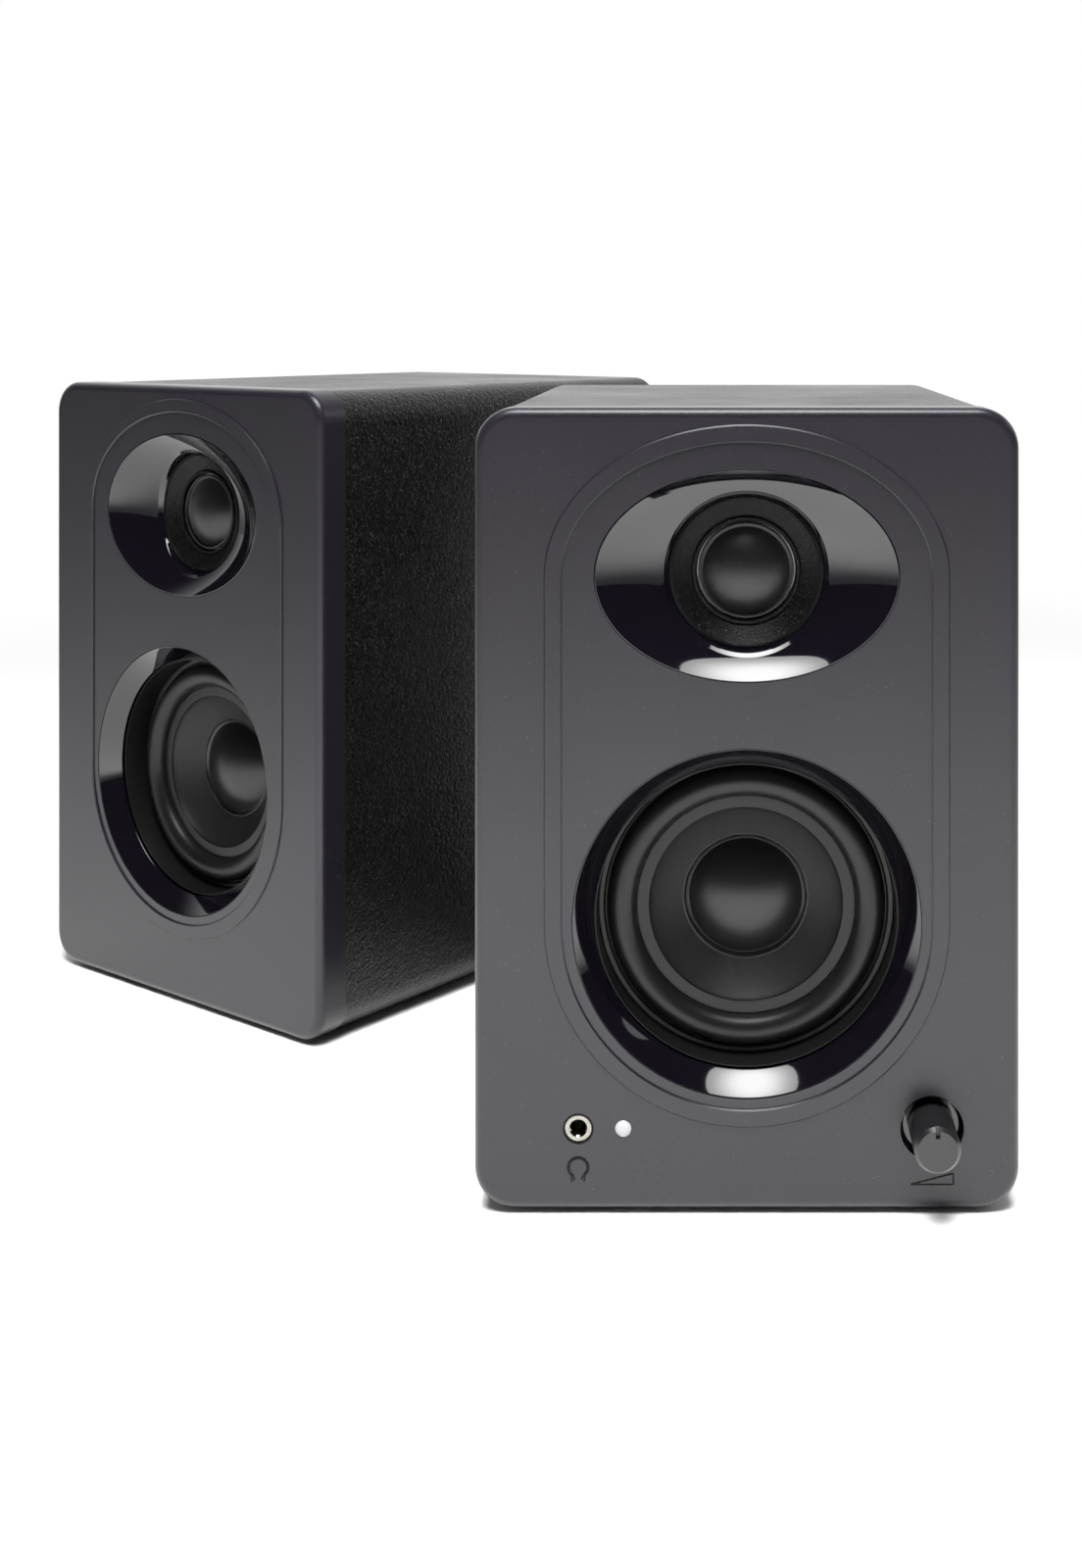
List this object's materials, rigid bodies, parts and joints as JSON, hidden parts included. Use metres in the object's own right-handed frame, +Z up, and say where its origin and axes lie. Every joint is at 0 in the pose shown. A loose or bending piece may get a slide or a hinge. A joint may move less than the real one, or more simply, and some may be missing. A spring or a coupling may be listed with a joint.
{
  "type": "desktop speaker pair",
  "caption": "Pair of small two-way desktop speakers: an active one with headphone socket, light and volume knob on its front, and a passive one.",
  "frame": {"origin": "on the surface the pair stands on, below the middle of the active cabinet", "axes": "+Z is up. The active speaker looks along -Y. The passive speaker stands on the -X side of it, further back."},
  "size_m": [0.2984, 0.3216, 0.1973],
  "materials": {
    "baffle_plastic": "satin painted plastic, dark grey with a slight violet tint",
    "cabinet_vinyl": "fibreboard wrapped in black pebble-grained vinyl",
    "gloss_black": "high gloss black",
    "grained_black": "fine grained black plastic",
    "silk_dome": "coated silk",
    "zinc_plate": "zinc plated steel",
    "surround_rubber": "semi matt rubber",
    "cone_matte": "dark grey polypropylene",
    "dust_cap_satin": "satin black",
    "coil_former": "aluminium former with copper winding",
    "spider_cloth": "resin treated cloth",
    "basket_steel": "black painted pressed steel",
    "ferrite": "ferrite ceramic",
    "black_screw": "black oxide",
    "port_plastic": "black plastic",
    "foot_rubber": "rubber",
    "jack_nickel": "bright nickel plate",
    "led_lens": "frosted white",
    "knob_black": "satin black",
    "pot_case": "steel case",
    "circuit_board": "green solder mask",
    "panel_paint": "black painted steel",
    "core_steel": "laminated core with winding",
    "socket_black": "black moulded plastic",
    "rocker_black": "gloss black",
    "lever_red": "red plastic",
    "lever_black": "black plastic"
  },
  "bodies": {
    "active_speaker": {"active_cabinet": "cabinet_vinyl", "active_front_baffle": "baffle_plastic", "active_tweeter_waveguide": "gloss_black", "active_tweeter_faceplate": "grained_black", "active_tweeter_magnet": "zinc_plate", "active_woofer_trim_ring": "gloss_black", "active_woofer_surround": "surround_rubber", "active_woofer_spider": "spider_cloth", "active_woofer_basket": "basket_steel", "active_woofer_magnet": "ferrite", "active_woofer_yoke": "zinc_plate", "active_driver_screws": "black_screw", "active_port_tube": "port_plastic", "active_feet": "foot_rubber", "headphone_jack": "jack_nickel", "power_led": "led_lens", "volume_bezel": "gloss_black", "volume_pot": "pot_case", "control_board": "circuit_board", "amp_panel": "panel_paint", "panel_screws": "black_screw", "amp_board": "circuit_board", "transformer": "core_steel", "line_input_jacks": "jack_nickel", "aux_jack": "jack_nickel", "mains_inlet": "socket_black", "power_switch_frame": "socket_black", "output_terminal": "socket_black"},
    "passive_speaker": {"passive_cabinet": "cabinet_vinyl", "passive_front_baffle": "baffle_plastic", "passive_tweeter_waveguide": "gloss_black", "passive_tweeter_faceplate": "grained_black", "passive_tweeter_magnet": "zinc_plate", "passive_woofer_trim_ring": "gloss_black", "passive_woofer_surround": "surround_rubber", "passive_woofer_spider": "spider_cloth", "passive_woofer_basket": "basket_steel", "passive_woofer_magnet": "ferrite", "passive_woofer_yoke": "zinc_plate", "passive_driver_screws": "black_screw", "passive_port_tube": "port_plastic", "passive_feet": "foot_rubber", "input_terminal": "socket_black", "crossover_board": "circuit_board"},
    "active_woofer_moving": {"active_woofer_cone": "cone_matte", "active_woofer_dust_cap": "dust_cap_satin", "active_woofer_voice_coil": "coil_former"},
    "active_tweeter_moving": {"active_tweeter_dome": "silk_dome"},
    "passive_woofer_moving": {"passive_woofer_cone": "cone_matte", "passive_woofer_dust_cap": "dust_cap_satin", "passive_woofer_voice_coil": "coil_former"},
    "passive_tweeter_moving": {"passive_tweeter_dome": "silk_dome"},
    "volume_control": {"volume_knob": "knob_black", "volume_shaft": "zinc_plate"},
    "rocker": {"power_rocker": "rocker_black"},
    "output_lever_red": {"output_lever_red": "lever_red"},
    "output_lever_black": {"output_lever_black": "lever_black"},
    "input_lever_red": {"input_lever_red": "lever_red"},
    "input_lever_black": {"input_lever_black": "lever_black"}
  },
  "joints": [
    {"name": "passive_speaker_placing", "type": "slide", "parent": "active_speaker", "child": "passive_speaker", "axis": [-1, 0, 0], "range_m": [0, 0.6]},
    {"name": "volume_turn", "type": "hinge", "parent": "active_speaker", "child": "volume_control", "pos_m": [0.0452, -0.081, 0.0212], "axis": [0, -1, 0], "range_deg": [-150, 150]},
    {"name": "power_rocker_tilt", "type": "hinge", "parent": "active_speaker", "child": "rocker", "pos_m": [-0.03, 0.083, 0.0922], "axis": [1, 0, 0], "range_deg": [0, 16]},
    {"name": "output_lever_red_press", "type": "hinge", "parent": "active_speaker", "child": "output_lever_red", "pos_m": [0.01935, 0.0815, 0.0377], "axis": [1, 0, 0], "range_deg": [0, 18], "stiffness_Nm_per_rad": 0.4},
    {"name": "output_lever_black_press", "type": "hinge", "parent": "active_speaker", "child": "output_lever_black", "pos_m": [0.03665, 0.0815, 0.0377], "axis": [1, 0, 0], "range_deg": [0, 18], "stiffness_Nm_per_rad": 0.4},
    {"name": "input_lever_red_press", "type": "hinge", "parent": "passive_speaker", "child": "input_lever_red", "pos_m": [-0.09037, 0.19312, 0.0627], "axis": [0.8028, -0.5962, 0], "range_deg": [0, 18], "stiffness_Nm_per_rad": 0.4},
    {"name": "input_lever_black_press", "type": "hinge", "parent": "passive_speaker", "child": "input_lever_black", "pos_m": [-0.07648, 0.1828, 0.0627], "axis": [0.8028, -0.5962, 0], "range_deg": [0, 18], "stiffness_Nm_per_rad": 0.4},
    {"name": "active_woofer_travel", "type": "slide", "parent": "active_speaker", "child": "active_woofer_moving", "axis": [0, 1, 0], "range_m": [-0.002, 0.002], "stiffness_N_per_m": 900, "deforming": ["active_woofer_surround", "active_woofer_spider"]},
    {"name": "active_tweeter_travel", "type": "slide", "parent": "active_speaker", "child": "active_tweeter_moving", "axis": [0, 1, 0], "range_m": [-0.0003, 0.0003], "stiffness_N_per_m": 2000},
    {"name": "passive_woofer_travel", "type": "slide", "parent": "passive_speaker", "child": "passive_woofer_moving", "axis": [0.5962, 0.8028, 0], "range_m": [-0.002, 0.002], "stiffness_N_per_m": 900, "deforming": ["passive_woofer_surround", "passive_woofer_spider"]},
    {"name": "passive_tweeter_travel", "type": "slide", "parent": "passive_speaker", "child": "passive_tweeter_moving", "axis": [0.5962, 0.8028, 0], "range_m": [-0.0003, 0.0003], "stiffness_N_per_m": 2000}
  ]
}
